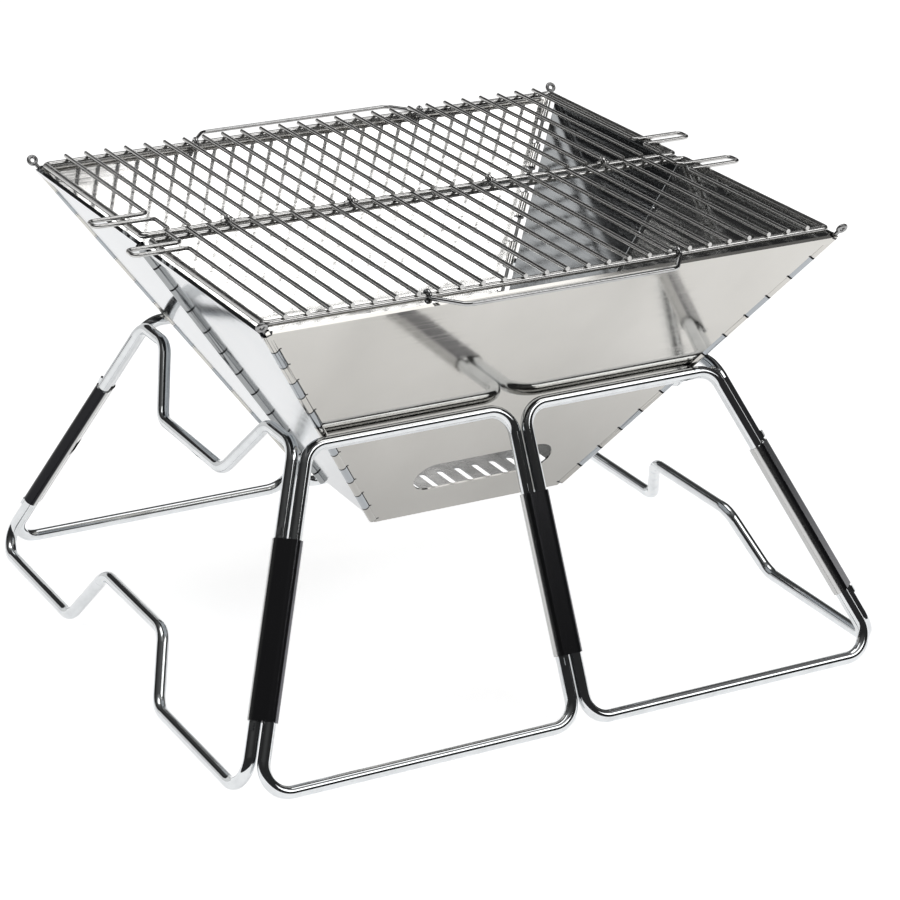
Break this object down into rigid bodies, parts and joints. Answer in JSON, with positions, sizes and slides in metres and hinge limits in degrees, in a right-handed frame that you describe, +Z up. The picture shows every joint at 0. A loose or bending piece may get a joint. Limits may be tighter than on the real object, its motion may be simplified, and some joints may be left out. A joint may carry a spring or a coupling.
{
  "type": "folding camp grill",
  "caption": "Folding camp grill: a hinged sheet-metal firebox shaped like a tapered trough on a folding ring of wire legs, under a two-part hinged wire grate with bail handles.",
  "frame": {"origin": "on the ground plane, at the middle of the footprint", "axes": "+Z up, +X to the right along the long side of the rim, +Y to the back; the front wall faces -Y"},
  "size_m": [0.39, 0.3714, 0.2482],
  "materials": {
    "leg_wire": "polished",
    "sleeve": "satin",
    "mirror_wall": "mirror",
    "end_wall": "polished",
    "pin": "satin",
    "grate_wire": "polished"
  },
  "bodies": {
    "left_leg": {"left_side_frame": "leg_wire", "front_left_sleeve": "sleeve", "back_left_sleeve": "sleeve"},
    "front_left_leg": {"front_left_frame": "leg_wire", "front_mid_sleeve": "sleeve"},
    "front_right_leg": {"front_right_frame": "leg_wire"},
    "right_leg": {"right_side_frame": "leg_wire", "front_right_sleeve": "sleeve", "back_right_sleeve": "sleeve"},
    "back_left_leg": {"back_left_frame": "leg_wire", "back_mid_sleeve": "sleeve"},
    "back_right_leg": {"back_right_frame": "leg_wire"},
    "firebox_front": {"front_wall": "mirror_wall", "front_left_pin": "pin", "front_right_pin": "pin", "floor_pin": "pin"},
    "left_front_panel": {"left_front_wall": "end_wall", "left_mid_pin": "pin"},
    "left_back_panel": {"left_back_wall": "end_wall", "back_left_pin": "pin"},
    "back_panel": {"back_wall": "mirror_wall", "back_right_pin": "pin"},
    "right_front_panel": {"right_front_wall": "end_wall", "right_mid_pin": "pin"},
    "right_back_panel": {"right_back_wall": "end_wall"},
    "floor": {"floor_plate": "end_wall"},
    "rear_grate": {"rear_grate_frame": "grate_wire", "rear_grate_bars": "grate_wire", "rear_grate_loops": "grate_wire"},
    "front_grate": {"front_grate_frame": "grate_wire", "front_grate_bars": "grate_wire", "front_grate_loops": "grate_wire"},
    "front_bail": {"front_handle": "grate_wire"},
    "rear_bail": {"rear_handle": "grate_wire"}
  },
  "joints": [
    {"name": "stand_fold", "type": "hinge", "parent": "left_leg", "child": "front_left_leg", "pos_m": [-0.18755, -0.184, 0], "axis": [0.3592, 0.4159, 0.8355], "range_deg": [0, 54]},
    {"name": "front_mid_fold", "type": "hinge", "parent": "front_left_leg", "child": "front_right_leg", "pos_m": [0.00385, -0.184, 0], "axis": [0, 0.4456, 0.8952], "range_deg": [-99.4, 0]},
    {"name": "front_right_fold", "type": "hinge", "parent": "front_right_leg", "child": "right_leg", "pos_m": [0.18755, -0.184, 0], "axis": [-0.3592, 0.4159, 0.8355], "range_deg": [0, 53.9]},
    {"name": "back_left_fold", "type": "hinge", "parent": "left_leg", "child": "back_left_leg", "pos_m": [-0.18755, 0.184, 0], "axis": [0.3592, -0.4159, 0.8355], "range_deg": [-50.4, 0]},
    {"name": "back_mid_fold", "type": "hinge", "parent": "back_left_leg", "child": "back_right_leg", "pos_m": [0.00385, 0.184, 0], "axis": [0, -0.4456, 0.8952], "range_deg": [0, 93.3]},
    {"name": "firebox_lift", "type": "slide", "parent": "left_leg", "child": "firebox_front", "axis": [0, 0, 1], "range_m": [0, 0.271]},
    {"name": "firebox_fold", "type": "hinge", "parent": "firebox_front", "child": "left_front_panel", "pos_m": [-0.057, -0.051, 0.08], "axis": [0.4925, 0.4743, -0.7297], "range_deg": [0, 90]},
    {"name": "left_mid_fold", "type": "hinge", "parent": "left_front_panel", "child": "left_back_panel", "pos_m": [-0.05849, 0, 0.07899], "axis": [-0.5595, 0, 0.8288], "range_deg": [0, 149.2]},
    {"name": "back_left_corner", "type": "hinge", "parent": "left_back_panel", "child": "back_panel", "pos_m": [-0.057, 0.051, 0.08], "axis": [-0.4925, 0.4743, 0.7297], "range_deg": [-90.7, 0]},
    {"name": "front_right_corner", "type": "hinge", "parent": "firebox_front", "child": "right_front_panel", "pos_m": [0.057, -0.051, 0.08], "axis": [0.4925, -0.4743, 0.7297], "range_deg": [0, 91]},
    {"name": "right_mid_fold", "type": "hinge", "parent": "right_front_panel", "child": "right_back_panel", "pos_m": [0.05849, 0, 0.07899], "axis": [0.5595, 0, 0.8288], "range_deg": [-150.2, 0]},
    {"name": "floor_drop", "type": "hinge", "parent": "firebox_front", "child": "floor", "pos_m": [0, -0.0519, 0.08514], "axis": [1, 0, 0], "range_deg": [-56.8, 0]},
    {"name": "grate_lift", "type": "slide", "parent": "firebox_front", "child": "rear_grate", "axis": [0, 0, 1], "range_m": [0, 0.189]},
    {"name": "grate_fold", "type": "hinge", "parent": "rear_grate", "child": "front_grate", "pos_m": [0, 0, 0.24455], "axis": [-1, 0, 0], "range_deg": [0, 165]},
    {"name": "front_handle_swing", "type": "hinge", "parent": "front_grate", "child": "front_bail", "pos_m": [0, -0.1495, 0.2416], "axis": [-1, 0, 0], "range_deg": [0, 140]},
    {"name": "rear_handle_swing", "type": "hinge", "parent": "rear_grate", "child": "rear_bail", "pos_m": [0, 0.1495, 0.2416], "axis": [1, 0, 0], "range_deg": [0, 140]}
  ],
  "couplings": [
    {"joint": "front_mid_fold", "follows": "stand_fold", "ratio": -1.8226},
    {"joint": "front_right_fold", "follows": "stand_fold", "ratio": 0.9801},
    {"joint": "back_left_fold", "follows": "stand_fold", "ratio": -0.915},
    {"joint": "back_mid_fold", "follows": "stand_fold", "ratio": 1.7093},
    {"joint": "firebox_lift", "follows": "stand_fold", "m_per_rad": 0.2865},
    {"joint": "left_mid_fold", "follows": "firebox_fold", "ratio": 1.647},
    {"joint": "back_left_corner", "follows": "firebox_fold", "ratio": -0.9965},
    {"joint": "front_right_corner", "follows": "firebox_fold", "ratio": 1},
    {"joint": "right_mid_fold", "follows": "firebox_fold", "ratio": -1.6576},
    {"joint": "floor_drop", "follows": "firebox_fold", "ratio": -0.62},
    {"joint": "grate_lift", "follows": "firebox_fold", "m_per_rad": 0.12}
  ]
}
